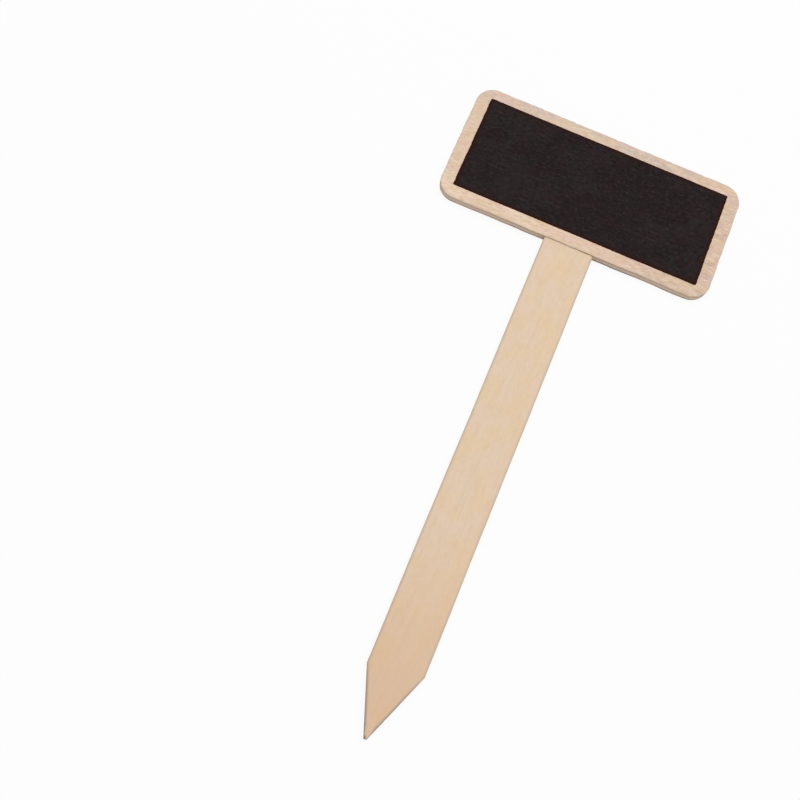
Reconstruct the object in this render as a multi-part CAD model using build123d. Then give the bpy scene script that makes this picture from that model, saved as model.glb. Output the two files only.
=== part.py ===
from build123d import *
import os

# Plant label stake: a rounded head of glued wooden layers, with a black writing panel on its
# face, on a flat pointed stake whose end is glued into a slot in the head's core.
# It lies on its back. +X runs along the head, +Y from the point to the head, and +Z out of
# the writing face. The origin is on the surface it lies on, at the middle of its outline.

# Head, seen from the front
HEAD_WIDTH = 100.0
HEAD_HEIGHT = 46.0
HEAD_CORNER_RADIUS = 6.5

# Head layers, from the back to the face
VENEER_THICKNESS = 0.45
GLUE_THICKNESS = 0.1
PAINT_THICKNESS = 0.1

# Sanded arris round the outside of each veneer
HEAD_ARRIS_RADIUS = 0.2

# Bare wood left round the painted panel
PANEL_SIDE_BORDER = 4.8
PANEL_UPPER_BORDER = 4.0
PANEL_LOWER_BORDER = 4.6
PANEL_CORNER_RADIUS = 0.7

# Stake: a flat stick, as thick as the core that it is let into, with its free length below
# the head and its point within that length
STAKE_WIDTH = 18.0
STAKE_THICKNESS = 2.2
STAKE_FREE_LENGTH = 176.0
POINT_LENGTH = 22.0
TIP_FLAT = 1.0
STAKE_ARRIS_RADIUS = 0.25

# Slot for the stake, open at the head's lower edge
SLOT_TOP_WALL = 14.5
SLOT_SIDE_CLEARANCE = 0.08
SLOT_END_CLEARANCE = 0.5

# Overrun of every cutting solid past the faces that it cuts
CUT_OVERRUN = 1.0

# The most of a wall that a round may take, from one of its sides and from each of two
ONE_SIDE_ROUND_SHARE = 0.8
TWO_SIDE_ROUND_SHARE = 0.4

# Places along +Y, with the origin halfway between the tip and the head's upper edge
overall_length = HEAD_HEIGHT + STAKE_FREE_LENGTH
head_top_y = overall_length / 2
head_bottom_y = head_top_y - HEAD_HEIGHT
head_middle_y = head_top_y - HEAD_HEIGHT / 2
tip_y = head_bottom_y - STAKE_FREE_LENGTH
shoulder_y = tip_y + POINT_LENGTH
slot_end_y = head_top_y - SLOT_TOP_WALL
tongue_end_y = slot_end_y - SLOT_END_CLEARANCE

# Places along +Z, each layer on the one behind it
back_glue_z = VENEER_THICKNESS
core_z = back_glue_z + GLUE_THICKNESS
face_glue_z = core_z + STAKE_THICKNESS
face_veneer_z = face_glue_z + GLUE_THICKNESS
face_z = face_veneer_z + VENEER_THICKNESS

slot_width = STAKE_WIDTH + 2 * SLOT_SIDE_CLEARANCE


def rounded_sheet(width, height, corner_radius, thickness, middle_y, bottom_z):
    """A flat sheet with rounded corners, its back face at bottom_z."""
    largest_radius = TWO_SIDE_ROUND_SHARE * min(width, height)
    with BuildPart() as sheet:
        with BuildSketch(Plane.XY.offset(bottom_z)):
            with Locations((0, middle_y)):
                RectangleRounded(width, height, min(corner_radius, largest_radius))
        extrude(amount=thickness)
    return sheet.part


def head_layer(thickness, bottom_z):
    """One full layer of the head."""
    return rounded_sheet(
        HEAD_WIDTH, HEAD_HEIGHT, HEAD_CORNER_RADIUS, thickness, head_middle_y, bottom_z
    )


def veneer(bottom_z, outer_face):
    """A face or back veneer, with its outer arris sanded round."""
    sheet = head_layer(VENEER_THICKNESS, bottom_z)
    largest_radius = ONE_SIDE_ROUND_SHARE * min(VENEER_THICKNESS, HEAD_CORNER_RADIUS)
    arris = sheet.faces().sort_by(Axis.Z)[outer_face].edges()
    return fillet(arris, min(HEAD_ARRIS_RADIUS, largest_radius))


def slotted_core():
    """The head's middle layer, slotted from its lower edge for the stake's tongue."""
    slot_bottom_y = head_bottom_y - CUT_OVERRUN
    slot_length = slot_end_y - slot_bottom_y
    slot = Box(slot_width, slot_length, STAKE_THICKNESS + 2 * CUT_OVERRUN)
    slot_middle = (0, slot_bottom_y + slot_length / 2, core_z + STAKE_THICKNESS / 2)
    return head_layer(STAKE_THICKNESS, core_z) - Pos(*slot_middle) * slot


def stake():
    """The flat stick: a tongue in the head, straight sides, and a point cut by two saw cuts."""
    half_width = STAKE_WIDTH / 2
    half_tip = min(TIP_FLAT, STAKE_WIDTH) / 2
    outline = [
        (-half_width, tongue_end_y),
        (half_width, tongue_end_y),
        (half_width, shoulder_y),
        (half_tip, tip_y),
        (-half_tip, tip_y),
        (-half_width, shoulder_y),
    ]
    with BuildPart() as stick:
        with BuildSketch(Plane.XY.offset(core_z)):
            Polygon(*outline, align=None)
        extrude(amount=STAKE_THICKNESS)
        largest_radius = TWO_SIDE_ROUND_SHARE * min(STAKE_THICKNESS, 2 * half_tip)
        faces_by_height = stick.faces().sort_by(Axis.Z)
        arrises = faces_by_height[0].edges() + faces_by_height[-1].edges()
        fillet(arrises, min(STAKE_ARRIS_RADIUS, largest_radius))
    return stick.part


def chalkboard_panel():
    """The coat of black writing paint on the face veneer."""
    width = HEAD_WIDTH - 2 * PANEL_SIDE_BORDER
    height = HEAD_HEIGHT - PANEL_UPPER_BORDER - PANEL_LOWER_BORDER
    middle_y = head_bottom_y + PANEL_LOWER_BORDER + height / 2
    return rounded_sheet(width, height, PANEL_CORNER_RADIUS, PAINT_THICKNESS, middle_y, face_z)


pieces = {
    "back_veneer": veneer(0, outer_face=0),
    "back_glue": head_layer(GLUE_THICKNESS, back_glue_z),
    "slotted_core": slotted_core(),
    "stake": stake(),
    "face_glue": head_layer(GLUE_THICKNESS, face_glue_z),
    "face_veneer": veneer(face_veneer_z, outer_face=-1),
    "chalkboard_panel": chalkboard_panel(),
}

os.makedirs("parts", exist_ok=True)
for name, solid in pieces.items():
    export_step(solid, f"parts/{name}.step")
    size = solid.bounding_box().size
    print(f"{name}: {size.X:.2f} x {size.Y:.2f} x {size.Z:.2f} mm, {solid.volume:.1f} mm3")
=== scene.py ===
"""Dresses the plant label stake: a layered wooden head with a painted panel, on a pointed stake."""

import logging
import math
from dataclasses import dataclass, replace
from enum import Enum

import bpy
import numpy as np
from mathutils import Matrix, Vector, noise


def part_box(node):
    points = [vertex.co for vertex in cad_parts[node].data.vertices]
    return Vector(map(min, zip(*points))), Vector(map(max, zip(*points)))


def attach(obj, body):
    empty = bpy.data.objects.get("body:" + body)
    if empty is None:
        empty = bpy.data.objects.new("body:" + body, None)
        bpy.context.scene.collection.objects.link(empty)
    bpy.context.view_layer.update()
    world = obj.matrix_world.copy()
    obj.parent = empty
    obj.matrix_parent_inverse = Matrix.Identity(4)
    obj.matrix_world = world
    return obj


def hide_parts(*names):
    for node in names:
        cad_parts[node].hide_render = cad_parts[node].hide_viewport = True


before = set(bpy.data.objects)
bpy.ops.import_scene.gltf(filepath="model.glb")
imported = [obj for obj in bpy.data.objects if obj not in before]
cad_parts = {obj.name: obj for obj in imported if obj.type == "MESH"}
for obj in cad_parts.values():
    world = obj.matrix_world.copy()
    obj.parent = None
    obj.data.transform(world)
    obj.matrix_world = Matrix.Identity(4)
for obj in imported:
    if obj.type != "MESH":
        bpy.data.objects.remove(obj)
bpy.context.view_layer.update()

log = logging.getLogger("plant_label")

Tree = bpy.types.NodeTree
Socket = bpy.types.NodeSocket

# A place seen from above and a place in space, in millimetres
Point = tuple[float, float]
Point3 = tuple[float, float, float]

# A colour as sRGB hex, and the most that it covers, from 0 to 1
Cover = tuple[str, float]

# A dark place on a seam: X as a share of half the stake's width, the reach in millimetres, and
# the strength
SeamShare = tuple[float, float, float]

# One millimetre in metres, Blender's unit
MM = 0.001

# The width of the picture, in pixels
IMAGE_WIDTH = 800

# Names of the marks that a mesh carries for its finish. The first is handling wear and painted
# shade on arrises and on the stake's sides, and the paint's browner rim; the second is glue and
# soil, and painted shade along the back veneer's lower edge
EDGE_MARK_AND_SHADE = "edge_mark_and_shade"
STAIN_AND_SHADE_MARK = "glue_soil_and_shade"

# The setting of a node that eases in and out between its limits
EASED = {"interpolation_type": "SMOOTHSTEP"}

# How strong the fine octaves of every noise are, next to the coarse one
NOISE_ROUGHNESS = 0.55

# How far a noise is moved for its width and its length, so that no two patterns line up
SHIFT_PER_WIDTH = 7.3
SHIFT_PER_LENGTH = 3.1

# How far a sanded face swells up and down, how long each swell is along X and how wide along Y,
# in millimetres
SWELL_HEIGHT = 0.02
SWELL_LENGTH = 26
SWELL_WIDTH = 7

# The sharpest bend that is shaded smooth, in degrees
SMOOTH_ANGLE = 40

# The colour of plain white light
WHITE = (1.0, 1.0, 1.0, 1.0)


def linear_colour(hex_code: str) -> tuple[float, float, float, float]:
    """Turns an sRGB hex colour into the linear one that the shaders take.

    Args:
        hex_code: a hash sign and six hex digits.

    Returns:
        Linear red, green and blue, and an alpha of 1.
    """
    channels = [int(hex_code[start : start + 2], 16) / 255 for start in (1, 3, 5)]
    linear = [c / 12.92 if c <= 0.04045 else ((c + 0.055) / 1.055) ** 2.4 for c in channels]
    return (*linear, 1.0)


def add_node(
    tree: Tree, kind: str, settings: dict[str, object], inputs: dict[str | int, object]
) -> bpy.types.Node:
    """Adds a node with its settings and links.

    Args:
        tree: the node tree that it goes into.
        kind: the node's type name.
        settings: values for the node's own properties, by property name.
        inputs: a value or another node's output for each input, by the input's name or number.

    Returns:
        The new node.
    """
    node = tree.nodes.new(kind)
    for name, value in settings.items():
        setattr(node, name, value)
    for key, value in inputs.items():
        if isinstance(value, Socket):
            tree.links.new(value, node.inputs[key])
        else:
            node.inputs[key].default_value = value
    return node


def new_material(name: str) -> tuple[bpy.types.Material, Tree]:
    """Starts an empty material.

    Args:
        name: what the material is called.

    Returns:
        The material and its node tree, with no node in it.
    """
    material = bpy.data.materials.new(name)
    material.use_nodes = True
    material.node_tree.nodes.clear()
    return material, material.node_tree


class FibreRun(Enum):
    """Which way the fibres of a wooden piece run, as the number of that axis."""

    ALONG_HEAD = 0
    ALONG_STAKE = 1


@dataclass(frozen=True)
class Streaks:
    """Where a noise, drawn out along the fibres, is strong.

    Attributes:
        width: the size of the streaks across the fibres, in millimetres.
        length: their size along the fibres, in millimetres.
        start: the noise level at which they start to show.
        full: the noise level at which they show most.
        strength: the most that they cover, from 0 to 1.
        detail: how many finer octaves the noise has.
    """

    width: float
    length: float
    start: float
    full: float
    strength: float
    detail: float = 2.0

    def amount(self, tree: Tree, place: Socket, run: FibreRun) -> Socket:
        """Adds the nodes that say how much shows.

        Args:
            tree: the material's node tree.
            place: the object coordinates, in metres.
            run: which way the fibres run.

        Returns:
            The output that holds the amount, from 0 to strength.
        """
        scale = [1 / (self.width * MM)] * 3
        scale[run.value] = 1 / (self.length * MM)
        shift = [
            SHIFT_PER_WIDTH * self.width, SHIFT_PER_LENGTH * self.length, self.width + self.length,
        ]
        drawn_out = {"Vector": place, "Location": shift, "Scale": scale}
        mapping = add_node(tree, "ShaderNodeMapping", {}, drawn_out)
        marks = add_node(
            tree, "ShaderNodeTexNoise", {},
            {
                "Vector": mapping.outputs[0], "Scale": 1.0,
                "Detail": self.detail, "Roughness": NOISE_ROUGHNESS,
            },
        )
        limits = {
            "Value": marks.outputs[0],
            "From Min": self.start, "From Max": self.full, "To Max": self.strength,
        }
        return add_node(tree, "ShaderNodeMapRange", EASED, limits).outputs[0]


@dataclass(frozen=True)
class Shade:
    """Where something grows steadily from one place on the label to another.

    Attributes:
        axis: the number of the axis that it grows along.
        start: the place along that axis where it starts to show, in millimetres.
        full: the place where it shows most, in millimetres.
        strength: the most that it covers, from 0 to 1.
    """

    axis: int
    start: float
    full: float
    strength: float

    def amount(self, tree: Tree, place: Socket, run: FibreRun) -> Socket:
        """Adds the nodes that say how much shows.

        Args:
            tree: the material's node tree.
            place: the object coordinates, in metres.
            run: which way the fibres run, which doesn't matter here.

        Returns:
            The output that holds the amount, from 0 to strength.
        """
        parts = add_node(tree, "ShaderNodeSeparateXYZ", {}, {0: place})
        limits = {
            "Value": parts.outputs[self.axis],
            "From Min": self.start * MM, "From Max": self.full * MM, "To Max": self.strength,
        }
        return add_node(tree, "ShaderNodeMapRange", EASED, limits).outputs[0]


@dataclass(frozen=True, kw_only=True)
class Finish:
    """A surface in layers of colour, over a relief of fibres.

    Attributes:
        name: what the surface is and how it was made.
        base: the colour between all the tints, as sRGB hex.
        tints: the colours laid over it, in order, each with where it shows.
        run: which way the fibres run.
        fibres: where the fibres stand up in the relief.
        relief: the depth of the relief, in millimetres.
        relief_strength: how much of that depth the light shows, from 0 to 1.
        roughness: the roughness of the smoothest and the roughest spots.
        ior: how strongly it bends light.
        specular: how much light it mirrors, where 0.5 is what the IOR alone gives.
    """

    name: str
    base: str
    tints: tuple[tuple[str, Streaks | Shade], ...]
    run: FibreRun = FibreRun.ALONG_HEAD
    fibres: Streaks = Streaks(0.4, 12.0, 0.3, 0.7, 1.0)
    relief: float = 0.05
    relief_strength: float = 0.6
    roughness: tuple[float, float] = (0.55, 0.75)
    ior: float = 1.5
    specular: float = 0.25

    def build(self) -> bpy.types.Material:
        """Builds the material from its layers of colour, its relief and its roughness.

        Returns:
            The material.
        """
        material, tree = new_material(self.name)
        place = add_node(tree, "ShaderNodeTexCoord", {}, {}).outputs["Object"]
        colour = linear_colour(self.base)
        for hex_code, amount in self.layers(tree, place):
            blend = {0: amount, 6: colour, 7: linear_colour(hex_code)}
            colour = add_node(tree, "ShaderNodeMix", {"data_type": "RGBA"}, blend).outputs[2]
        height = self.fibres.amount(tree, place, self.run)
        bump = add_node(
            tree, "ShaderNodeBump", {},
            {"Height": height, "Strength": self.relief_strength, "Distance": self.relief * MM},
        )
        smooth, rough = self.roughness
        limits = {"Value": height, "To Min": smooth, "To Max": rough}
        uneven = add_node(tree, "ShaderNodeMapRange", {}, limits)
        surface = add_node(
            tree, "ShaderNodeBsdfPrincipled", {},
            {
                "Base Color": colour, "Roughness": uneven.outputs[0], "IOR": self.ior,
                "Specular IOR Level": self.specular, "Normal": bump.outputs[0],
            },
        )
        add_node(tree, "ShaderNodeOutputMaterial", {}, {"Surface": surface.outputs[0]})
        return material

    def layers(self, tree: Tree, place: Socket) -> list[tuple[str, Socket]]:
        """Gives each colour and the output that says how much of it shows, in order."""
        return [(colour, where.amount(tree, place, self.run)) for colour, where in self.tints]


@dataclass(frozen=True, kw_only=True)
class WoodFinish(Finish):
    """A bare wooden surface: tinted fibres, growth rings, end grain, handled edges and stains, with
    painted shade on arrises, on the stake's sides and along the back veneer's lower edge.

    Attributes:
        ring: the colour of the late wood in each growth ring, and the most that it covers.
        ring_width: how far apart the rings lie across the fibres, in millimetres.
        end_grain: the same for where the fibres are cut across.
        edge: the same for sawn and handled edges, whose grey also stands for painted shade on arrises
            and on the stake's sides.
        stain_and_shade_colour: the colour where glue or soil has soaked in, and that of the painted
            shade along the back veneer's lower edge.
        ring_spread: the width and length of the noise whose contours are rings, in ring widths.
        ring_count: how many rings lie between the noise's lowest and highest level.
        late_wood: where in each ring the late wood starts and where it is darkest, as shares.
        cut_across: how squarely the surface cuts the fibres where end grain starts to show and
            where it shows most.
        patches: the width and length of the patches that a mark is broken up into, and the
            noise levels at which it starts to show and shows most.
    """

    ring: Cover
    ring_width: float
    end_grain: Cover
    edge: Cover
    stain_and_shade_colour: str
    ring_spread: tuple[float, float] = (6, 40)
    ring_count: float = 14.0
    late_wood: tuple[float, float] = (0.35, 0.95)
    cut_across: tuple[float, float] = (0.2, 0.9)
    patches: tuple[float, float, float, float] = (0.8, 2.5, -0.5, 0.5)

    def layers(self, tree: Tree, place: Socket) -> list[tuple[str, Socket]]:
        """Adds growth rings, end grain, handled edges and stains to the tints.

        Args:
            tree: the material's node tree.
            place: the object coordinates, in metres.

        Returns:
            Each colour and the output that holds its amount, in the order they are laid on.
        """
        return [
            *super().layers(tree, place),
            (self.ring[0], self._rings(tree, place)),
            (self.end_grain[0], self._end_grain(tree)),
            (self.edge[0], self._marked(tree, place, EDGE_MARK_AND_SHADE, self.edge[1])),
            (self.stain_and_shade_colour, self._marked(tree, place, STAIN_AND_SHADE_MARK, 1.0)),
        ]

    def _rings(self, tree: Tree, place: Socket) -> Socket:
        """Adds growth rings: a slow darkening that ends sharply, along the contours of a noise.

        Args:
            tree: the material's node tree.
            place: the object coordinates, in metres.

        Returns:
            The output that holds how much of the ring colour shows.
        """
        width, length = (share * self.ring_width for share in self.ring_spread)
        broad = Streaks(width, length, start=0.0, full=1.0, strength=1.0, detail=0.5)
        rising = {0: broad.amount(tree, place, self.run), 1: self.ring_count}
        many = add_node(tree, "ShaderNodeMath", {"operation": "MULTIPLY"}, rising)
        ring = add_node(tree, "ShaderNodeMath", {"operation": "FRACT"}, {0: many.outputs[0]})
        start, full = self.late_wood
        limits = {
            "Value": ring.outputs[0], "From Min": start, "From Max": full, "To Max": self.ring[1],
        }
        return add_node(tree, "ShaderNodeMapRange", {}, limits).outputs[0]

    def _end_grain(self, tree: Tree) -> Socket:
        """Adds the amount of end grain, from how squarely the surface cuts the fibres.

        Args:
            tree: the material's node tree.

        Returns:
            The output that holds how much of the end grain colour shows.
        """
        facing = add_node(tree, "ShaderNodeNewGeometry", {}, {}).outputs["True Normal"]
        along = add_node(tree, "ShaderNodeSeparateXYZ", {}, {0: facing}).outputs[self.run.value]
        square = add_node(tree, "ShaderNodeMath", {"operation": "ABSOLUTE"}, {0: along})
        start, full = self.cut_across
        limits = {
            "Value": square.outputs[0],
            "From Min": start, "From Max": full, "To Max": self.end_grain[1],
        }
        return add_node(tree, "ShaderNodeMapRange", {}, limits).outputs[0]

    def _marked(self, tree: Tree, place: Socket, mark: str, strength: float) -> Socket:
        """Adds the amount of a mark that the mesh carries, broken up into patches.

        Args:
            tree: the material's node tree.
            place: the object coordinates, in metres.
            mark: the name of the mesh's attribute.
            strength: the most that the mark's colour covers.

        Returns:
            The output that holds how much of the mark's colour shows.
        """
        carried = add_node(tree, "ShaderNodeAttribute", {"attribute_name": mark}, {})
        patchy = Streaks(*self.patches, strength).amount(tree, place, self.run)
        both = {0: carried.outputs["Fac"], 1: patchy}
        return add_node(tree, "ShaderNodeMath", {"operation": "MULTIPLY"}, both).outputs[0]


@dataclass(frozen=True, kw_only=True)
class BlackboardPaint(Finish):
    """Matt blackboard paint in one coat on bare veneer, so that the grain shows through.

    Attributes:
        rim: the browner colour where the coat ends and has soaked into the wood.
    """

    rim: str

    def layers(self, tree: Tree, place: Socket) -> list[tuple[str, Socket]]:
        """Adds the browner rim to the tints.

        Args:
            tree: the material's node tree.
            place: the object coordinates, in metres.

        Returns:
            Each colour and the output that holds its amount, in the order they are laid on.
        """
        tints = super().layers(tree, place)
        rim = add_node(tree, "ShaderNodeAttribute", {"attribute_name": EDGE_MARK_AND_SHADE}, {})
        return [*tints, (self.rim, rim.outputs["Fac"])]


@dataclass(frozen=True)
class Outline:
    """A closed outline in millimetres, as four sides that a grid can span.

    Seen from above it runs counter-clockwise: south, east, north backwards, west backwards.

    Attributes:
        south: the points from the first corner to the second.
        east: the points from the second corner to the third.
        north: the points from the fourth corner to the third.
        west: the points from the first corner to the fourth.
        fanned: whether the south and north sides are straight, so that their points stay
            evenly spaced between the corners when the outline is drawn in.
    """

    south: np.ndarray
    east: np.ndarray
    north: np.ndarray
    west: np.ndarray
    fanned: bool = False

    @property
    def columns(self) -> int:
        """How many points the south and north sides have."""
        return len(self.south)

    @property
    def rows(self) -> int:
        """How many points the west and east sides have."""
        return len(self.west)

    def loop(self) -> np.ndarray:
        """The outline's points in order, each once."""
        return np.vstack([self.south[:-1], self.east[:-1], self.north[:0:-1], self.west[:0:-1]])

    def split(self, loop: np.ndarray) -> tuple[np.ndarray, ...]:
        """Cuts what belongs to the points of the loop into the four sides.

        Args:
            loop: one value or place for each point, in the order of loop().

        Returns:
            Those of the south, east, north and west sides, with their corners.
        """
        closed = np.concatenate([loop, loop[:1]])
        second = self.columns - 1
        third = second + self.rows - 1
        fourth = third + self.columns - 1
        south, east = closed[: second + 1], closed[second : third + 1]
        return south, east, closed[third : fourth + 1][::-1], closed[fourth:][::-1]

    def outward(self) -> np.ndarray:
        """Gives each point's way out, longer at a corner so that the sides stay parallel.

        Returns:
            The ways out, in the order of loop().
        """
        loop = self.loop()
        ahead = np.roll(loop, -1, axis=0) - loop
        behind = np.roll(ahead, 1, axis=0)
        normals = [np.column_stack([step[:, 1], -step[:, 0]]) for step in (ahead, behind)]
        units = [n / np.linalg.norm(n, axis=1, keepdims=True) for n in normals]
        middle = units[0] + units[1]
        middle /= np.linalg.norm(middle, axis=1, keepdims=True)
        out = middle / np.sum(middle * units[0], axis=1, keepdims=True)
        if self.fanned:
            for first in (0, self.columns + self.rows - 2):
                last = first + self.columns - 1
                out[first : last + 1] = np.linspace(out[first], out[last], self.columns)
        return out

    def grid(self) -> np.ndarray:
        """Spreads a grid of points between the four sides.

        Returns:
            The points by row, from the south, and by column, from the west.
        """
        across = np.linspace(0, 1, self.columns)[None, :, None]
        along = np.linspace(0, 1, self.rows)[:, None, None]
        south, north = self.south[None], self.north[None]
        west, east = self.west[:, None], self.east[:, None]
        low = (1 - across) * self.south[0] + across * self.south[-1]
        high = (1 - across) * self.north[0] + across * self.north[-1]
        between_sides = (1 - along) * south + along * north + (1 - across) * west + across * east
        return between_sides - (1 - along) * low - along * high


def turn(centre: Point, radius: float, start: float, end: float, steps: int) -> np.ndarray:
    """Gives the points of an arc.

    Args:
        centre: the arc's centre.
        radius: its radius.
        start: the angle of its first point, in degrees.
        end: the angle of its last point, in degrees.
        steps: how many stretches it is cut into.

    Returns:
        The points, steps and one of them.
    """
    angles = np.radians(np.linspace(start, end, steps + 1))
    along_x, along_y = radius * np.cos(angles), radius * np.sin(angles)
    return np.column_stack([centre[0] + along_x, centre[1] + along_y])


def straight(start: np.ndarray, end: np.ndarray, step: float) -> np.ndarray:
    """Gives evenly spaced points between two points, without either of them.

    Args:
        start: the first end.
        end: the other end.
        step: the longest distance between points.

    Returns:
        The points in between.
    """
    count = max(1, math.ceil(np.linalg.norm(np.subtract(end, start)) / step))
    shares = np.linspace(0, 1, count + 1)[1:-1, None]
    return (1 - shares) * np.asarray(start) + shares * np.asarray(end)


def rounded_rectangle(
    low: Point, high: Point, radius: float, step: float, corner_steps: int = 6
) -> Outline:
    """Gives the outline of a rectangle with round corners, split in the middle of each corner.

    Args:
        low: its lowest corner.
        high: its highest corner.
        radius: the corners' radius.
        step: the longest distance between points on the straight sides.
        corner_steps: how many stretches half a corner is cut into.

    Returns:
        The outline.
    """
    half_corner = 45
    west_x, east_x = low[0] + radius, high[0] - radius
    south_y, north_y = low[1] + radius, high[1] - radius

    def side(first: Point, turn_in: float, last: Point, way: int) -> np.ndarray:
        """Gives one side: half a corner, a straight and half a corner.

        Args:
            first: the centre of its first corner.
            turn_in: the angle at which the straight begins and ends, in degrees.
            last: the centre of its last corner.
            way: 1 where the angle grows along the side, and -1 where it falls.

        Returns:
            The side's points.
        """
        opening = turn(first, radius, turn_in - half_corner * way, turn_in, corner_steps)
        closing = turn(last, radius, turn_in, turn_in + half_corner * way, corner_steps)
        return np.vstack([opening, straight(opening[-1], closing[0], step), closing])

    return Outline(
        south=side((west_x, south_y), 270, (east_x, south_y), 1),
        east=side((east_x, south_y), 360, (east_x, north_y), 1),
        north=side((west_x, north_y), 90, (east_x, north_y), -1),
        west=side((west_x, south_y), 180, (west_x, north_y), -1),
    )


@dataclass(frozen=True)
class Ring:
    """One loop round a plate's rim.

    Attributes:
        inset: how far it lies inside the outline, in millimetres.
        height: how high it lies, in millimetres.
        handled: how much handling wear and painted shade mark it, and on the paint how brown its rim
            is, from 0 to 1.
        stain_and_shade: how much glue or soil has soaked into it, and at the back veneer's lower edge
            how much painted shade it carries, from 0 to 1.
    """

    inset: float
    height: float
    handled: float = 0.0
    stain_and_shade: float = 0.0


@dataclass(frozen=True)
class Arris:
    """A rounded arris, and the soft band of wear and painted shade inside it.

    Attributes:
        radius: its radius, in millimetres.
        wear: how far each ring of the band lies inside the arris, in millimetres, and how much
            of the marks is left there.
        steps: how many stretches the round is cut into.
    """

    radius: float
    wear: tuple[tuple[float, float], ...]
    steps: int = 3

    def rings(self, height: float, way: int, handled: float, stain_and_shade: float) -> list[Ring]:
        """Gives its rings, from the side up to the face or from the back down to the side.

        Args:
            height: the height of the face that it rounds off.
            way: 1 for the face, and -1 for the back.
            handled: how much handling wear and painted shade mark it.
            stain_and_shade: how much glue has soaked into it, and on the back veneer how much painted
                shade it carries.

        Returns:
            The rings.
        """
        rings = []
        for angle in np.radians(np.linspace(0, 90, self.steps + 1)):
            inset = self.radius * (1 - math.cos(angle))
            drop = self.radius * (1 - math.sin(angle))
            rings.append(Ring(inset, height - way * drop, handled, stain_and_shade))
        for inside, left in self.wear:
            rings.append(Ring(self.radius + inside, height, left * handled, left * stain_and_shade))
        return rings if way > 0 else rings[::-1]


@dataclass(frozen=True)
class Nick:
    """A place where fibres have torn out of a rim.

    Attributes:
        middle: its middle, in millimetres.
        reach: how far it goes, in millimetres.
        depth: how deep it is, in millimetres.
    """

    middle: Point
    reach: float
    depth: float

    def bite(self, point: Point) -> float:
        """How deep the nick is at a point of the rim, in millimetres."""
        share = min(1.0, math.dist(self.middle, point) / self.reach)
        return self.depth * (1 - share * share) ** 2


@dataclass(frozen=True)
class Spot:
    """A place where a rim is marked more than elsewhere.

    Attributes:
        middle: its middle, in millimetres.
        reach: how far it goes, in millimetres.
        strength: how much it adds to the mark there.
    """

    middle: Point
    reach: float
    strength: float

    def added(self, point: Point) -> float:
        """How much the spot adds at a point of the rim."""
        share = min(1.0, math.dist(self.middle, point) / self.reach)
        return self.strength * (1 - share**4)


@dataclass(frozen=True)
class Marking:
    """How strongly one kind of mark shows round a rim.

    Attributes:
        rest: its level away from every spot, from 0 to 1.
        spots: the places where it is stronger.
    """

    rest: float = 1.0
    spots: tuple[Spot, ...] = ()

    def level(self, point: Point) -> float:
        """Its level at a point of the rim, from 0 to 1."""
        return min(1.0, self.rest + sum(spot.added(point) for spot in self.spots))


@dataclass(frozen=True)
class Taper:
    """Where a plate narrows to a tip, so that its rings draw in less there.

    Attributes:
        tip: the tip, in millimetres.
        share: how much of its usual inset a ring has at the tip.
        length: how far from the tip it has all of it, in millimetres.
    """

    tip: Point = (0.0, 0.0)
    share: float = 1.0
    length: float = 1.0

    def inset(self, usual: float, point: Point) -> float:
        """The inset that a ring has at a point of the rim, in millimetres."""
        away = min(1.0, math.dist(self.tip, point) / self.length)
        return usual * (self.share + (1 - self.share) * away)


@dataclass(frozen=True)
class RimWork:
    """How a saw and sandpaper left a rim: it wanders a little, and cut fibres fray.

    Attributes:
        run: which way the fibres run.
        wander: how far the rim wanders in and out, in millimetres.
        wander_length: how long each bend is, in millimetres.
        fray: how far cut fibres stand in and out, in millimetres.
        fray_width: how wide each bundle of fibres is, in millimetres.
        side_share: how much of the fray a side along the fibres has.
        seed: moves the pattern of the fray.
        nicks: the places where fibres have torn out.
        handled: where handling wear and painted shade mark the rim, and on the paint where its rim is
            browner.
        stain_and_shade: where glue has soaked into the rim, and on the back veneer and its glue film
            where shade is painted along it.
        dirt: the places where soil has soaked into the rim and the faces.
        run_in: how far the mark of the last ring runs on over the face, in millimetres.
        taper: where the plate narrows to a tip.
    """

    run: FibreRun
    wander: float = 0.22
    wander_length: float = 7.0
    fray: float = 0.12
    fray_width: float = 1.3
    side_share: float = 0.4
    seed: float = 0.0
    nicks: tuple[Nick, ...] = ()
    handled: Marking = Marking()
    stain_and_shade: Marking = Marking()
    dirt: Marking = Marking(0.0)
    run_in: float = 0.0
    taper: Taper = Taper()

    def offset(self, point: np.ndarray, outward: np.ndarray, height: float) -> float:
        """Says how far out a point of the rim lies from its clean outline.

        Args:
            point: the point on the clean outline, in millimetres.
            outward: the way out there.
            height: how high the point is, in millimetres.

        Returns:
            The distance outwards, in millimetres.
        """
        x, y = float(point[0]), float(point[1])
        bend = noise.noise(Vector((x, y, 0.0)) / self.wander_length)
        across = abs(float(outward[self.run.value])) / float(np.linalg.norm(outward))
        tuft = noise.noise(Vector((x, y, height + self.seed)) / self.fray_width)
        torn = sum(nick.bite((x, y)) for nick in self.nicks)
        frayed = self.fray * (self.side_share + (1 - self.side_share) * across)
        return self.wander * bend + frayed * tuft - torn


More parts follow.
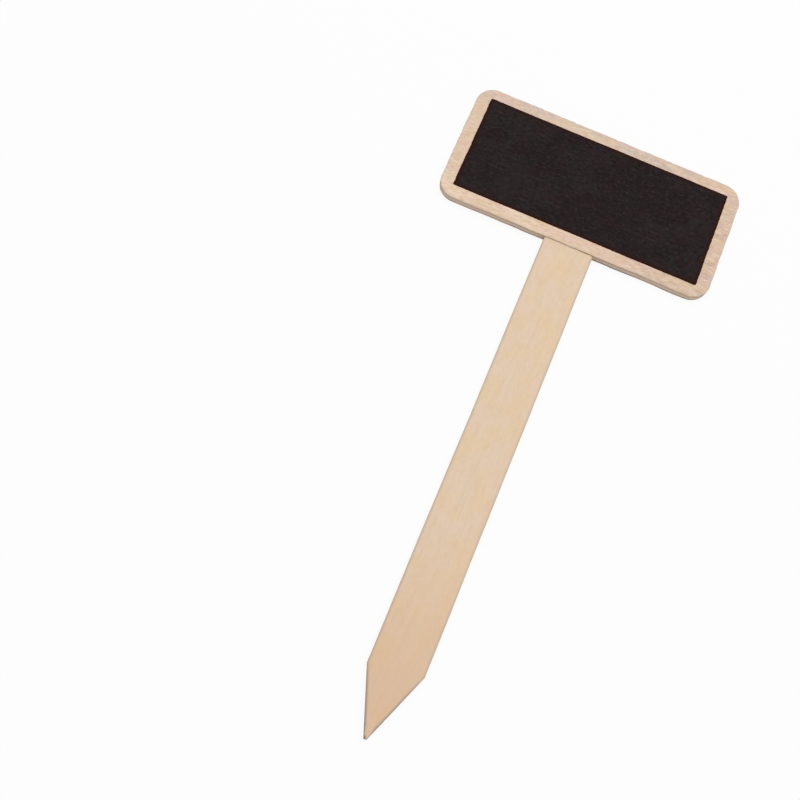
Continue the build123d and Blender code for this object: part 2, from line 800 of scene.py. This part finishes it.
@dataclass
class Plate:
    """A thin plate: rings round its rim, and a grid over each face.

    Attributes:
        name: what the piece is called.
        outline: its clean outline.
        rings: the loops of its rim, from the edge of its back to the edge of its face.
        work: how its rim was worked.
        swells: whether its back and its face swell as sanded faces do.
    """

    name: str
    outline: Outline
    rings: list[Ring]
    work: RimWork
    swells: tuple[bool, bool] = (False, False)

    def build(self) -> bpy.types.Object:
        """Builds the mesh with the marks that its finish reads.

        Returns:
            The piece, without a finish yet.
        """
        loops = [self._ring_points(ring) for ring in self.rings]
        points = [(x, y, ring.height) for ring, loop in zip(self.rings, loops) for x, y in loop]
        faces = self._rim_faces(len(loops[0]))
        faces += self._cap(points, loops, 0)
        faces += self._cap(points, loops, len(loops) - 1)
        mesh = bpy.data.meshes.new(self.name)
        mesh.from_pydata([tuple(MM * c for c in self._settled(p)) for p in points], [], faces)
        for mark, values in self._marks(points).items():
            mesh.attributes.new(mark, "FLOAT", "POINT").data.foreach_set("value", values)
        mesh.shade_smooth()
        mesh.set_sharp_from_angle(angle=math.radians(SMOOTH_ANGLE))
        mesh.validate()
        piece = bpy.data.objects.new(self.name, mesh)
        bpy.context.scene.collection.objects.link(piece)
        return piece

    def _marks(self, points: list[Point3]) -> dict[str, list[float]]:
        """Says how strongly each point is marked.

        Args:
            points: all the points, those of the rings first.

        Returns:
            Each mark's level at every point, from 0 to 1, by the mark's name.
        """
        work, rim = self.work, self.outline.loop()
        inner = points[len(self.rings) * len(rim) :]
        handled = [ring.handled * work.handled.level(p) for ring in self.rings for p in rim]
        stain_and_shade = [ring.stain_and_shade * work.stain_and_shade.level(p) for ring in self.rings for p in rim]
        stain_and_shade += [0.0] * len(inner)
        dirty = [work.dirt.level(p[:2]) for p in points]
        return {
            EDGE_MARK_AND_SHADE: handled + self._run_in(inner),
            STAIN_AND_SHADE_MARK: [max(pair) for pair in zip(stain_and_shade, dirty)],
        }

    def _run_in(self, inner: list[Point3]) -> list[float]:
        """Says how strongly the last ring's mark has run in to each inner point.

        Args:
            inner: the points inside the rings.

        Returns:
            The mark's level at each of them, from 0 to 1.
        """
        if not self.work.run_in:
            return [0.0] * len(inner)
        last = self._ring_points(self.rings[-1])
        away = [float(np.min(np.hypot(*(last - point[:2]).T))) for point in inner]
        return [self.rings[-1].handled * max(0.0, 1 - gap / self.work.run_in) for gap in away]

    def _ring_points(self, ring: Ring) -> np.ndarray:
        """Places one ring's points on the worked rim.

        Args:
            ring: the ring.

        Returns:
            Its points, in millimetres.
        """
        clean, outward = self.outline.loop(), self.outline.outward()
        offsets = [self.work.offset(p, n, ring.height) for p, n in zip(clean, outward)]
        insets = [self.work.taper.inset(ring.inset, p) for p in clean]
        return clean + outward * np.subtract(offsets, insets)[:, None]

    def _rim_faces(self, size: int) -> list[tuple[int, ...]]:
        """Joins each ring to the next.

        Args:
            size: how many points a ring has.

        Returns:
            The rim's faces.
        """
        faces = []
        for lower in range(len(self.rings) - 1):
            start, above = lower * size, (lower + 1) * size
            for here in range(size):
                ahead = (here + 1) % size
                faces.append((start + here, start + ahead, above + ahead, above + here))
        return faces

    def _cap(
        self, points: list[Point3], loops: list[np.ndarray], ring: int
    ) -> list[tuple[int, ...]]:
        """Covers the back or the face with a grid inside one ring.

        Args:
            points: all points so far, which the grid's inner points are added to.
            loops: the points of every ring.
            ring: the number of the ring, which is 0 for the back and the last for the face.

        Returns:
            The grid's faces.
        """
        loop, height = loops[ring], self.rings[ring].height
        grid = Outline(*self.outline.split(loop)).grid()
        numbers = np.zeros(grid.shape[:2], int)
        sides = self.outline.split(ring * len(loop) + np.arange(len(loop)))
        numbers[0], numbers[:, -1], numbers[-1], numbers[:, 0] = sides
        for row, column in np.ndindex(*numbers[1:-1, 1:-1].shape):
            numbers[row + 1, column + 1] = len(points)
            points.append((*grid[row + 1, column + 1], height))
        faces = []
        for near, far in zip(numbers.tolist(), numbers[1:].tolist()):
            quads = list(zip(near, near[1:], far[1:], far))
            faces += quads if ring > 0 else [quad[::-1] for quad in quads]
        return faces

    def _settled(self, point: Point3) -> Point3:
        """Lowers or lifts a point of a face that swells.

        Args:
            point: the point, in millimetres.

        Returns:
            The point with its height settled.
        """
        x, y, z = point
        back_height, face_height = self.rings[0].height, self.rings[-1].height
        share = (z - back_height) / (face_height - back_height)
        swell = SWELL_HEIGHT * noise.noise(Vector((x / SWELL_LENGTH, y / SWELL_WIDTH, 0.0)))
        back_lift, face_lift = (swell if swells else 0.0 for swells in self.swells)
        return x, y, z + (1 - share) * back_lift + share * face_lift


def dress(piece: bpy.types.Object, node: str, material: bpy.types.Material) -> None:
    """Gives a piece its finish, and lets it stand for a node of the frame.

    Args:
        piece: the new piece.
        node: the node that it stands for.
        material: its finish.
    """
    piece.data.materials.append(material)
    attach(piece, "root")
    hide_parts(node)
    faces = len(piece.data.polygons)
    log.info("%s stands for %s, in %s, with %d faces", piece.name, node, material.name, faces)


def node_box(node: str) -> tuple[np.ndarray, np.ndarray]:
    """Gives the lowest and highest corners of a node, in millimetres."""
    low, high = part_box(node)
    return np.array(low) / MM, np.array(high) / MM


# Single fibres and vessels are under 0.1 mm wide, too fine to show in the render, so every wood
# here draws them as bundles and flecks that are 0.22 to 0.6 mm wide

# Rotary-cut basswood, sanded: straw and peach in turns, with fine short fibres along the head
FACE_VENEER_WOOD = WoodFinish(
    name="rotary_cut_basswood_veneer_sanded",
    base="#DDC4AE",
    tints=(
        # The first three are painted light and shade, for light that falls unevenly over the head: a
        # lighter lower border, a head that darkens to the right, and a greyer top border
        ("#F8DDC2", Shade(1, 82.0, 66.0, 0.72)),
        ("#C3A696", Shade(0, -14.0, 42.0, 0.85)),
        ("#C4B6B2", Shade(1, 98.0, 109.0, 0.65)),
        ("#E2BEAE", Streaks(6.0, 16.0, 0.45, 0.6, 0.6)),
        ("#DEC7A2", Streaks(4.0, 12.0, 0.46, 0.62, 0.6)),
        ("#E3C5B6", Streaks(1.9, 5.0, 0.46, 0.6, 0.5)),
        ("#DFC29A", Streaks(1.7, 4.5, 0.48, 0.62, 0.5)),
        ("#C4A58B", Streaks(0.32, 2.4, 0.48, 0.66, 0.6)),
        ("#F0DECC", Streaks(0.3, 2.2, 0.5, 0.68, 0.58)),
        ("#AC8B6E", Streaks(0.24, 1.0, 0.66, 0.76, 0.5)),
    ),
    ring=("#CDA98A", 0.12),
    ring_width=2.4,
    end_grain=("#C3A78D", 0.5),
    # The edge colour is handling wear and painted shade on the arris
    edge=("#C9BDAF", 0.7),
    stain_and_shade_colour="#6E4A2C",
)

# The same veneer on the back: a little darker, in longer and calmer streaks along the head
BACK_VENEER_WOOD = WoodFinish(
    name="rotary_cut_basswood_back_veneer",
    base="#DBC0A6",
    tints=(
        ("#E1C6B0", Streaks(6.0, 20.0, 0.45, 0.62, 0.6)),
        ("#D5B596", Streaks(4.0, 26.0, 0.5, 0.66, 0.6)),
        ("#E2C3B2", Streaks(1.3, 6.0, 0.5, 0.65, 0.45)),
        ("#C5A589", Streaks(0.5, 4.0, 0.5, 0.68, 0.5)),
        ("#A98768", Streaks(0.3, 1.6, 0.68, 0.78, 0.5)),
    ),
    ring=("#C79F7C", 0.3),
    ring_width=3.2,
    end_grain=("#C3A78D", 0.5),
    edge=("#B0957C", 0.6),
    # This colour is painted shade: the dark band along the lower edge beside the stake
    stain_and_shade_colour="#453A2C",
)

# Poplar core, cross-banded and sawn: its long edges show pale end grain with small open pores
CORE_WOOD = WoodFinish(
    name="cross_banded_poplar_core_sawn",
    run=FibreRun.ALONG_STAKE,
    base="#DAC4AD",
    tints=(
        ("#E3CEB8", Streaks(1.6, 8.0, 0.45, 0.65, 0.5)),
        ("#C1A98F", Streaks(0.4, 4.0, 0.5, 0.7, 0.6, 3.0)),
        ("#A88C6F", Streaks(0.22, 0.6, 0.58, 0.72, 0.42)),
    ),
    ring=("#C4AA8E", 0.2),
    ring_width=2.0,
    end_grain=("#D7C2AC", 0.3),
    edge=("#C2AC94", 0.4),
    stain_and_shade_colour="#7D6148",
)

# Planed and tumbled birch stick: smooth, straw to peach in soft patches, warmer at the point
STAKE_WOOD = WoodFinish(
    name="planed_birch_stick",
    run=FibreRun.ALONG_STAKE,
    base="#E3CBB1",
    tints=(
        ("#E5C9A2", Streaks(7.5, 10.0, 0.42, 0.6, 0.6)),
        ("#E5CABB", Streaks(6.5, 9.0, 0.5, 0.66, 0.42)),
        ("#E0C2A0", Streaks(3.0, 4.0, 0.5, 0.68, 0.35)),
        ("#D6BA9B", Streaks(0.6, 2.4, 0.5, 0.7, 0.28)),
        ("#EDD8C2", Streaks(0.5, 2.0, 0.54, 0.72, 0.25)),
        ("#D9BC9C", Streaks(1.2, 26.0, 0.5, 0.7, 0.15)),
        ("#BE9975", Streaks(0.35, 0.9, 0.7, 0.78, 0.4)),
        ("#DDB592", Shade(1, -38.0, -104.0, 0.6)),
    ),
    ring=("#D3AE88", 0.05),
    ring_width=2.2,
    end_grain=("#B99B7C", 0.6),
    # The edge colour is handling wear and painted shade on the stick's arrises and sides
    edge=("#A39587", 1.0),
    stain_and_shade_colour="#5A524D",
)

# Dried wood glue: amber where it is clean and brown where dust has stuck, and a little glossier
# than the wood, as a film with no pores is. On the back film the brown beside the stake is
# painted shade
DRIED_GLUE = WoodFinish(
    name="dried_wood_glue_film",
    base="#C2A17D",
    tints=(
        ("#8E6C49", Streaks(0.6, 2.0, 0.4, 0.6, 0.5)),
        ("#C0A07C", Streaks(0.8, 3.0, 0.5, 0.7, 0.5)),
    ),
    ring=("#8E6C49", 0.1),
    ring_width=2.0,
    end_grain=("#8E6C49", 0.1),
    edge=("#8E6C49", 0.2),
    stain_and_shade_colour="#4C3422",
    roughness=(0.35, 0.5),
)

# Matt blackboard paint, screen-printed on the veneer: brownish black, in short soft blotches
PANEL_PAINT = BlackboardPaint(
    name="matt_blackboard_paint_printed",
    base="#241C1C",
    tints=(
        ("#2C2524", Streaks(10.0, 13.0, 0.45, 0.62, 0.65)),
        ("#232326", Streaks(5.0, 5.0, 0.5, 0.64, 0.45)),
        ("#2D1C20", Streaks(4.0, 5.0, 0.5, 0.64, 0.4)),
        ("#322B2B", Streaks(0.95, 1.6, 0.5, 0.66, 0.7)),
        ("#181213", Streaks(1.0, 1.7, 0.5, 0.66, 0.62)),
        ("#2B2322", Streaks(0.5, 4.0, 0.5, 0.68, 0.2)),
        ("#6B625E", Streaks(0.45, 0.45, 0.74, 0.8, 0.6)),
    ),
    rim="#2D150D",
    fibres=Streaks(0.45, 6.0, 0.3, 0.7, 1.0),
    relief_strength=0.5,
    roughness=(0.72, 0.9),
    specular=0.06,
)


@dataclass
class Head:
    """The rounded head: two veneers and a slotted core, with a glue film between each two.

    Sizes are in millimetres. The overall sizes come from the frame.

    Attributes:
        corner_radius: the radius of the outline's corners.
        arris: the sanded arris round each veneer, with its wear and painted shade.
        arris_wear_and_shade: how much handling wear and painted shade mark it.
        arris_soak_and_shade: how much glue has soaked into it, on the back veneer and on the face
            one; on the back veneer it is painted shade along the lower edge.
        side_soak_and_shade: how much of the seam's glue the side of a veneer has, and on the back
            veneer how much painted shade it has.
        step: the distance between points along the rim.
        rim_margin: how far inside the rim the flat faces start.
        glue_setback: how far the glue film stays inside the rim.
        face_work: how the face veneer's rim was worked.
        back_work: how the back veneer's rim was worked.
        core_work: how the core's rim was worked.
        glue_work: how unevenly a glue film ends.
        back_glue_seed: moves the pattern of the uneven end of the film at the back.
        face_glue_seed: the same for the film at the face.
        torn_shares: where fibres have torn out of the face veneer, with X as a share of half the
            width, 1 for the upper edge or 0 for the lower, and the reach and depth in millimetres.
        face_seam_shares: where glue and dust darken the seam under the face veneer.
        back_edge_shade_shares: where painted shade darkens the back veneer's lower edge and the back
            glue film, beside the stake.
        core_handled: how much handling marks the core's side.
        core_soak_shares: how much glue has soaked into it, at even heights from its back to its
            face.
    """

    corner_radius: float = 6.5
    arris: Arris = Arris(0.2, ((0.25, 0.6), (0.6, 0.0)))
    arris_wear_and_shade: float = 0.5
    arris_soak_and_shade: tuple[float, float] = (1.0, 0.0)
    side_soak_and_shade: float = 0.9
    step: float = 0.6
    rim_margin: float = 0.4
    glue_setback: float = 0.08
    face_work: RimWork = RimWork(FibreRun.ALONG_HEAD, seed=1.0)
    back_work: RimWork = RimWork(FibreRun.ALONG_HEAD, seed=9.0)
    core_work: RimWork = RimWork(
        FibreRun.ALONG_STAKE, fray=0.06, fray_width=0.7, seed=5.0, stain_and_shade=Marking(0.4)
    )
    glue_work: RimWork = RimWork(FibreRun.ALONG_HEAD, fray=0.08, fray_width=2.2)
    back_glue_seed: float = 3.0
    face_glue_seed: float = 7.0
    torn_shares: tuple[tuple[float, int, float, float], ...] = (
        (0.04, 1, 0.7, 0.25),
        (-0.52, 1, 1.2, 0.18),
        (0.47, 1, 0.9, 0.16),
        (-0.74, 1, 0.8, 0.14),
        (-0.27, 1, 0.7, 0.16),
        (0.22, 1, 1.0, 0.16),
        (0.71, 1, 0.8, 0.2),
        (-0.13, 0, 0.9, 0.06),
        (0.05, 0, 1.1, 0.1),
        (0.16, 0, 0.9, 0.12),
    )
    face_seam_shares: tuple[SeamShare, ...] = (
        (0.16, 2.0, 0.3),
        (0.6, 2.2, 0.8),
        (0.97, 0.9, 0.5),
        (1.9, 12.0, 0.45),
        (-2.2, 10.0, 0.3),
    )
    back_edge_shade_shares: tuple[SeamShare, ...] = (
        (1.4, 13.0, 1.0),
        (3.0, 20.0, 0.3),
        (-1.5, 9.0, 0.5),
    )
    core_handled: float = 0.3
    core_soak_shares: tuple[float, ...] = (0.9, 0.15, 0.0, 0.15, 0.9)

    def outline(self, node: str) -> Outline:
        """Gives the clean outline of one of the head's layers, from its box."""
        low, high = node_box(node)
        return rounded_rectangle(tuple(low[:2]), tuple(high[:2]), self.corner_radius, self.step)

    def veneer(self, node: str, name: str, is_face: bool, work: RimWork) -> bpy.types.Object:
        """Builds a veneer with its outer arris sanded round.

        Args:
            node: the node that it stands for.
            name: what the piece is called.
            is_face: whether it is the face veneer, and not the back one.
            work: how its rim was worked.

        Returns:
            The piece.
        """
        low, high = node_box(node)
        outer, inner, way = (high[2], low[2], 1) if is_face else (low[2], high[2], -1)
        middle = (outer - way * self.arris.radius + inner) / 2
        glued = [
            Ring(self.rim_margin, inner),
            Ring(0.0, inner, stain_and_shade=1.0),
            Ring(0.0, middle, stain_and_shade=self.side_soak_and_shade),
        ]
        rounded = self.arris.rings(outer, way, self.arris_wear_and_shade, self.arris_soak_and_shade[is_face])
        rings = glued + rounded if is_face else rounded + glued[::-1]
        return Plate(name, self.outline(node), rings, work, (not is_face, is_face)).build()

    def glue(self, node: str, name: str, seed: float, stain_and_shade: Marking) -> bpy.types.Object:
        """Builds a glue film that ends unevenly, just inside the rim.

        Args:
            node: the node that it stands for.
            name: what the piece is called.
            seed: moves the pattern of its uneven end.
            stain_and_shade: where dust has stuck to it, and on the back film where shade is painted.

        Returns:
            The piece.
        """
        low, high = node_box(node)
        outer, inner = self.glue_setback, self.glue_setback + self.rim_margin
        rings = [
            Ring(inner, low[2]), Ring(outer, low[2], stain_and_shade=1.0),
            Ring(outer, high[2], stain_and_shade=1.0), Ring(inner, high[2]),
        ]
        work = replace(self.glue_work, seed=seed, stain_and_shade=stain_and_shade)
        return Plate(name, self.outline(node), rings, work).build()

    def core(self, node: str, name: str, slot_half_width: float, slot_end: float) -> bpy.types.Object:
        """Builds the slotted core, as a band up one leg, over the slot and down the other leg.

        Args:
            node: the node that it stands for.
            name: what the piece is called.
            slot_half_width: half the width of the slot.
            slot_end: how high along Y the slot ends.

        Returns:
            The piece.
        """
        low, high = node_box(node)
        around = self.outline(node)
        corners = [
            (-slot_half_width, low[1]), (-slot_half_width, slot_end),
            (slot_half_width, slot_end), (slot_half_width, low[1]),
        ]
        leg, top = len(around.west) - 1, len(around.north) - 1
        slot = [
            np.linspace(start, end, count, endpoint=False)
            for start, end, count in zip(corners, corners[1:], (leg, top, leg))
        ]
        left_half = around.south[: len(around.south) // 2][::-1]
        clear_of_slot = left_half[:, 0] < -slot_half_width - self.step / 2
        left_edge = np.vstack([corners[:1], left_half[clear_of_slot]])
        band = Outline(
            south=np.vstack([*slot, corners[-1:]]),
            east=left_edge * [-1, 1],
            north=np.vstack([around.west, around.north[1:], around.east[::-1][1:]]),
            west=left_edge,
        )
        heights = np.linspace(low[2], high[2], len(self.core_soak_shares))
        side = [
            Ring(0.0, height, self.core_handled, soaked)
            for height, soaked in zip(heights, self.core_soak_shares)
        ]
        rings = [Ring(self.rim_margin, low[2]), *side, Ring(self.rim_margin, high[2])]
        return Plate(name, band, rings, self.core_work).build()

    def seam(self, shares: tuple[SeamShare, ...], stake_half_width: float) -> Marking:
        """Says where a layer's lower edge is darker: glue and dust under the face veneer, and painted
        shade under the back veneer.

        Args:
            shares: the dark places.
            stake_half_width: half the stake's width, in millimetres.

        Returns:
            The marking.
        """
        lower_y = node_box("face_veneer")[0][1]
        spots = [
            Spot((share * stake_half_width, lower_y), reach, strength)
            for share, reach, strength in shares
        ]
        return Marking(0.0, tuple(spots))

    def build(self, stake_half_width: float, slot_half_width: float, slot_end: float) -> None:
        """Builds and dresses the head's five layers.

        Args:
            stake_half_width: half the width of the stake.
            slot_half_width: half the width of the slot for the stake.
            slot_end: how high along Y the slot ends.
        """
        low, high = node_box("face_veneer")
        nicks = [
            Nick((share * high[0], (low[1], high[1])[is_upper]), reach, depth)
            for share, is_upper, reach, depth in self.torn_shares
        ]
        face_seam = self.seam(self.face_seam_shares, stake_half_width)
        back_edge_shade = self.seam(self.back_edge_shade_shares, stake_half_width)
        face_work = replace(self.face_work, nicks=tuple(nicks), stain_and_shade=face_seam)
        back_work = replace(self.back_work, stain_and_shade=back_edge_shade)
        face_wood, back_wood = FACE_VENEER_WOOD.build(), BACK_VENEER_WOOD.build()
        dried_glue = DRIED_GLUE.build()

        back = self.veneer("back_veneer", "back_sheet", False, back_work)
        dress(back, "back_veneer", back_wood)
        back_film = self.glue("back_glue", "back_glue_film", self.back_glue_seed, back_edge_shade)
        dress(back_film, "back_glue", dried_glue)
        core = self.core("slotted_core", "slotted_core_board", slot_half_width, slot_end)
        dress(core, "slotted_core", CORE_WOOD.build())
        face_film = self.glue("face_glue", "face_glue_film", self.face_glue_seed, face_seam)
        dress(face_film, "face_glue", dried_glue)
        face = self.veneer("face_veneer", "face_sheet", True, face_work)
        dress(face, "face_veneer", face_wood)


@dataclass
class WritingPanel:
    """The painted panel: one coat on the face veneer, that has bled along the fibres at its ends.

    Sizes are in millimetres.

    Attributes:
        corner_radius: the radius of its corners.
        corner_steps: how many stretches half a corner is cut into.
        step: the distance between points along its rim.
        soft_edge: how far its top is drawn in at the rim.
        rim_width: how wide the fully browner rim is.
        rim_brown: how brown the rim is, from 0 to 1.
        work: how the printed rim wanders and the paint has bled, and how far inside the rim the
            brown fades out.
    """

    corner_radius: float = 0.5
    corner_steps: int = 3
    step: float = 0.4
    soft_edge: float = 0.06
    rim_width: float = 0.4
    rim_brown: float = 0.95
    work: RimWork = RimWork(
        FibreRun.ALONG_HEAD, wander=0.08, wander_length=8.0,
        fray=0.16, fray_width=0.5, seed=2.0, run_in=1.2,
    )

    def build(self) -> None:
        """Builds and dresses the coat of paint."""
        low, high = node_box("chalkboard_panel")
        outline = rounded_rectangle(
            tuple(low[:2]), tuple(high[:2]), self.corner_radius, self.step, self.corner_steps
        )
        rings = [
            Ring(self.rim_width, low[2]),
            Ring(0.0, low[2], self.rim_brown),
            Ring(self.soft_edge, high[2], self.rim_brown),
            Ring(self.rim_width, high[2], self.rim_brown),
        ]
        coat = Plate("paint_coat", outline, rings, self.work, (True, True)).build()
        dress(coat, "chalkboard_panel", PANEL_PAINT.build())


@dataclass
class Stake:
    """The flat stick: a tongue inside the head, a shank, and a point made by two saw cuts.

    Sizes are in millimetres.

    Attributes:
        point_length: how far the point reaches from its shoulders.
        tip_width: the width of the blunt tip.
        cut_skew: how much nearer the tip the left cut starts, and how much further the right.
        tip_shift: how far the tip lies to the left of the middle.
        side_clearance: the gap to each side of the slot in the head.
        end_clearance: the gap to the slot's end.
        arris: its arrises, with their wear and painted shade.
        side_wear_and_shade: how much handling wear and painted shade mark the side between them.
        shank_wear_and_shade: how much of that marking the shank has, where the tip has all of it.
        soil_reach: how far soil has darkened the tip, from its left corner.
        soil_strength: how much it has.
        taper_share: the share of their inset that the rings have at the tip.
        taper_length: how far up the point they have all of it.
        work: how the stick's sides were worked.
        shank_step: the distance between rows in the shank.
        point_step: the distance between rows in the point.
        columns: how many points lie across it.
    """

    point_length: float = 22.0
    tip_width: float = 0.8
    cut_skew: float = 1.2
    tip_shift: float = 0.75
    side_clearance: float = 0.08
    end_clearance: float = 0.5
    arris: Arris = Arris(0.25, ((0.2, 0.6), (0.45, 0.25), (0.8, 0.0)))
    side_wear_and_shade: float = 0.9
    shank_wear_and_shade: float = 0.38
    soil_reach: float = 0.8
    soil_strength: float = 0.85
    taper_share: float = 0.08
    taper_length: float = 4.0
    work: RimWork = RimWork(
        FibreRun.ALONG_STAKE, wander=0.1, wander_length=24.0, fray=0.06, fray_width=0.8, seed=4.0
    )
    shank_step: float = 2.0
    point_step: float = 0.6
    columns: int = 15

    def outline(self) -> Outline:
        """Gives the clean outline, from the stake's box and the two saw cuts.

        Returns:
            The outline, whose south side is the tip.
        """
        low, high = node_box("stake")
        tip_y, shoulder_y = low[1], low[1] + self.point_length

        def side(way: int) -> np.ndarray:
            """Gives one long side, from the tip up.

            Args:
                way: 1 for the right side, and -1 for the left.

            Returns:
                The side's points.
            """
            tip = np.array((way * self.tip_width / 2 - self.tip_shift, tip_y))
            shoulder = np.array((way * high[0], shoulder_y + way * self.cut_skew))
            end = np.array((way * high[0], high[1]))
            point_rows = math.ceil(self.point_length / self.point_step)
            shank_rows = math.ceil((high[1] - shoulder_y) / self.shank_step)
            cut = np.linspace(tip, shoulder, point_rows, endpoint=False)
            return np.vstack([cut, np.linspace(shoulder, end, shank_rows + 1)])

        west, east = side(-1), side(1)
        south, north = (np.linspace(west[row], east[row], self.columns) for row in (0, -1))
        return Outline(south, east, north, west, fanned=True)

    def build(self) -> None:
        """Builds and dresses the stick."""
        low, high = node_box("stake")
        tip = (-self.tip_shift, low[1])
        tip_corner = (tip[0] - self.tip_width / 2, tip[1])
        point_reach = math.hypot(high[0], self.point_length)
        point = Spot(tip, point_reach, 1.0 - self.shank_wear_and_shade)
        soil = Spot(tip_corner, self.soil_reach, self.soil_strength)
        work = replace(
            self.work,
            handled=Marking(self.shank_wear_and_shade, (point,)),
            dirt=Marking(0.0, (soil,)),
            taper=Taper(tip, self.taper_share, self.taper_length),
        )
        back = self.arris.rings(low[2], -1, handled=1.0, stain_and_shade=0.0)
        middle = Ring(0.0, (low[2] + high[2]) / 2, self.side_wear_and_shade)
        face = self.arris.rings(high[2], 1, handled=1.0, stain_and_shade=0.0)
        rings = [*back, middle, *face]
        stick = Plate("pointed_stick", self.outline(), rings, work, (False, True)).build()
        dress(stick, "stake", STAKE_WOOD.build())


@dataclass
class Studio:
    """The plain pale floor, the soft light and the camera.

    Distances are in millimetres and angles in degrees. Azimuth 0 looks along +Y.

    Attributes:
        target: the point at the middle of the picture.
        distance: how far the camera is from it.
        azimuth: how far the camera stands round to the right.
        elevation: how high the camera stands.
        roll: how far the camera leans.
        focal_pixels: the focal length, in pixels of an 800-pixel picture.
        nearest: how near the camera can see.
        card: the floor's colour, as sRGB hex.
        floor_size: the length of the floor's sides.
        floor_drop: how far the floor lies below the object.
        floor_glow: how much of the floor's colour is plain white where the camera sees it.
        surround: the brightness of the white surround.
        horizon: its brightness where the camera sees it, which is that of the far floor.
        lamp_place: where the soft lamp hangs.
        lamp_size: the length and width of the soft lamp.
        lamp_power: its power, in watts.
    """

    target: Point3 = (-31.84, -9.77, 3.0)
    distance: float = 364.9
    azimuth: float = 6.9
    elevation: float = 72.5
    roll: float = 16.52
    focal_pixels: float = 1124.0
    nearest: float = 10.0
    card: str = "#F0F0F0"
    floor_size: float = 6000.0
    floor_drop: float = 0.03
    floor_glow: float = 0.9
    surround: float = 0.6
    horizon: float = 0.96
    lamp_place: Point3 = (50.0, 450.0, 1100.0)
    lamp_size: tuple[float, float] = (900.0, 600.0)
    lamp_power: float = 6.3

    def build(self) -> None:
        """Sets up the floor, the light and the camera."""
        self._floor()
        self._light()
        self._camera()
        bpy.context.scene.view_settings.view_transform = "Standard"

    def _floor(self) -> None:
        """Lays a white sheet of card under the object, that the camera sees a little lighter."""
        half = self.floor_size / 2
        mesh = bpy.data.meshes.new("white_card_floor")
        corners = [(-half, -half), (half, -half), (half, half), (-half, half)]
        corners = [Vector((x, y, -self.floor_drop)) * MM for x, y in corners]
        mesh.from_pydata(corners, [], [(0, 1, 2, 3)])
        floor = bpy.data.objects.new("white_card_floor", mesh)
        bpy.context.scene.collection.objects.link(floor)
        material, tree = new_material("white_card_matt")
        card = add_node(tree, "ShaderNodeBsdfDiffuse", {}, {"Color": linear_colour(self.card)})
        glow = add_node(tree, "ShaderNodeEmission", {}, {"Color": WHITE, "Strength": 1.0})
        lit = {0: self._seen(tree), 1: self.floor_glow}
        share = add_node(tree, "ShaderNodeMath", {"operation": "MULTIPLY"}, lit)
        both = {0: share.outputs[0], 1: card.outputs[0], 2: glow.outputs[0]}
        mixed = add_node(tree, "ShaderNodeMixShader", {}, both)
        add_node(tree, "ShaderNodeOutputMaterial", {}, {"Surface": mixed.outputs[0]})
        mesh.materials.append(material)

    def _seen(self, tree: Tree) -> Socket:
        """Adds what is 1 where the camera, a reflection or a clear material sees the surface.

        Args:
            tree: the material's or the world's node tree.

        Returns:
            The output that holds it.
        """
        path = add_node(tree, "ShaderNodeLightPath", {}, {})
        seen = path.outputs["Is Camera Ray"]
        for other in ("Is Glossy Ray", "Is Transmission Ray"):
            either = {0: seen, 1: path.outputs[other]}
            seen = add_node(tree, "ShaderNodeMath", {"operation": "MAXIMUM"}, either).outputs[0]
        return seen

    def _light(self) -> None:
        """Sets a soft white surround and one large soft lamp, high up beyond the head."""
        world = bpy.data.worlds.new("soft_white_surround")
        bpy.context.scene.world = world
        world.use_nodes = True
        tree = world.node_tree
        tree.nodes.clear()
        limits = {"Value": self._seen(tree), "To Min": self.surround, "To Max": self.horizon}
        strength = add_node(tree, "ShaderNodeMapRange", {}, limits)
        glow = {"Color": WHITE, "Strength": strength.outputs[0]}
        sky = add_node(tree, "ShaderNodeBackground", {}, glow)
        add_node(tree, "ShaderNodeOutputWorld", {}, {"Surface": sky.outputs[0]})
        lamp = bpy.data.lights.new("soft_box", "AREA")
        lamp.shape = "RECTANGLE"
        lamp.size, lamp.size_y = (length * MM for length in self.lamp_size)
        lamp.energy = self.lamp_power
        holder = bpy.data.objects.new("soft_box", lamp)
        bpy.context.scene.collection.objects.link(holder)
        holder.location = Vector(self.lamp_place) * MM
        holder.rotation_euler = (-holder.location).to_track_quat("-Z", "Y").to_euler()

    def _camera(self) -> None:
        """Sets the camera at the photograph's viewing angle."""
        camera = bpy.data.cameras.new("photo_camera")
        camera.lens = self.focal_pixels * camera.sensor_width / IMAGE_WIDTH
        camera.clip_start = self.nearest * MM
        holder = bpy.data.objects.new("photo_camera", camera)
        bpy.context.scene.collection.objects.link(holder)
        azimuth, elevation = math.radians(self.azimuth), math.radians(self.elevation)
        back = Vector((
            math.sin(azimuth) * math.cos(elevation),
            -math.cos(azimuth) * math.cos(elevation),
            math.sin(elevation),
        ))
        upright = back.to_track_quat("Z", "Y").to_matrix().to_4x4()
        lean = Matrix.Rotation(math.radians(self.roll), 4, "Z")
        place = Matrix.Translation((Vector(self.target) + back * self.distance) * MM)
        holder.matrix_world = place @ upright @ lean
        bpy.context.scene.camera = holder


def main() -> None:
    """Builds the studio and every piece."""
    logging.basicConfig(level=logging.INFO, format="%(name)s: %(message)s")
    Studio().build()
    stake = Stake()
    _, stake_high = node_box("stake")
    Head().build(
        stake_half_width=stake_high[0],
        slot_half_width=stake_high[0] + stake.side_clearance,
        slot_end=stake_high[1] + stake.end_clearance,
    )
    WritingPanel().build()
    stake.build()


if __name__ == "__main__":
    main()
